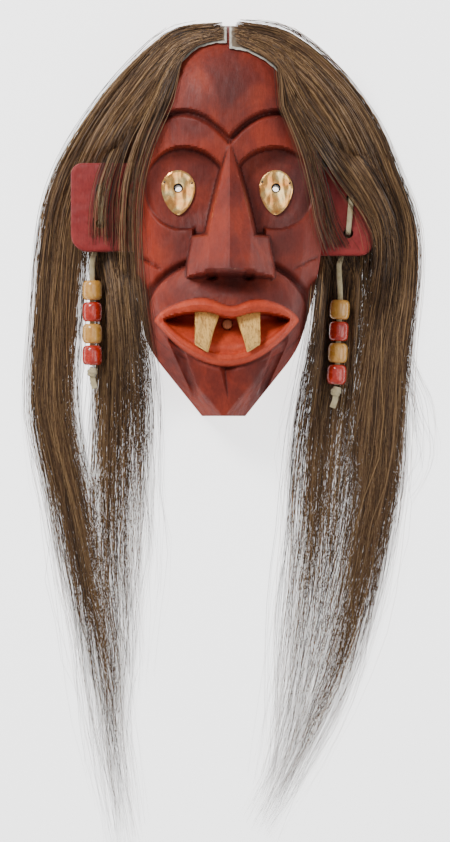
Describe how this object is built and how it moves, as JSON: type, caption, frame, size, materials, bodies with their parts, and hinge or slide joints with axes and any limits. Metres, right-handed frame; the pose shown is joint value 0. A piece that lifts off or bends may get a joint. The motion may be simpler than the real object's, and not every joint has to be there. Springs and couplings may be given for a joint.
{
  "type": "carved face mask",
  "caption": "Long hollow carved wooden face mask with copper eye plates, peg teeth, side ears, long parted horsehair and beaded thongs hanging from the ears.",
  "frame": {"origin": "on the flat back rim, on the mask's middle line, 5 mm up from the bottom of the chin; the mask lies on its back and this rim rests on the ground", "axes": "+Z out of the face, away from the ground; +Y up the face from chin to crown; +X to the viewer's right as the viewer looks down on the face"},
  "size_m": [0.2727, 0.5891, 0.1067],
  "materials": {
    "painted_wood": "worn satin red stain over carved softwood",
    "copper": "polished, slightly dented sheet",
    "tack_steel": "dull dark",
    "split_wood": "raw split",
    "stained_stub": "raw, stained",
    "raw_hide": "rough cut edge",
    "horsehair": "loose glossy strands",
    "buckskin": "matte suede",
    "tan_bead": "glossy varnish",
    "red_bead": "glossy paint"
  },
  "bodies": {
    "root": {"mask": "painted_wood", "eye_plate_left": "copper", "eye_tack_left_1": "tack_steel", "eye_tack_left_2": "tack_steel", "eye_tack_left_3": "tack_steel", "tooth_left": "split_wood", "eye_plate_right": "copper", "eye_tack_right_1": "tack_steel", "eye_tack_right_2": "tack_steel", "eye_tack_right_3": "tack_steel", "tooth_right": "split_wood", "tooth_middle": "stained_stub", "hide_left": "raw_hide", "hair_left": "horsehair", "thong_stitch_left": "buckskin", "thong_left": "buckskin", "bead_left_1": "tan_bead", "bead_left_2": "red_bead", "bead_left_3": "tan_bead", "bead_left_4": "red_bead", "knot_left": "buckskin", "hide_right": "raw_hide", "hair_right": "horsehair", "thong_stitch_right": "buckskin", "thong_right": "buckskin", "bead_right_1": "tan_bead", "bead_right_2": "red_bead", "bead_right_3": "tan_bead", "bead_right_4": "red_bead", "knot_right": "buckskin"}
  },
  "joints": []
}
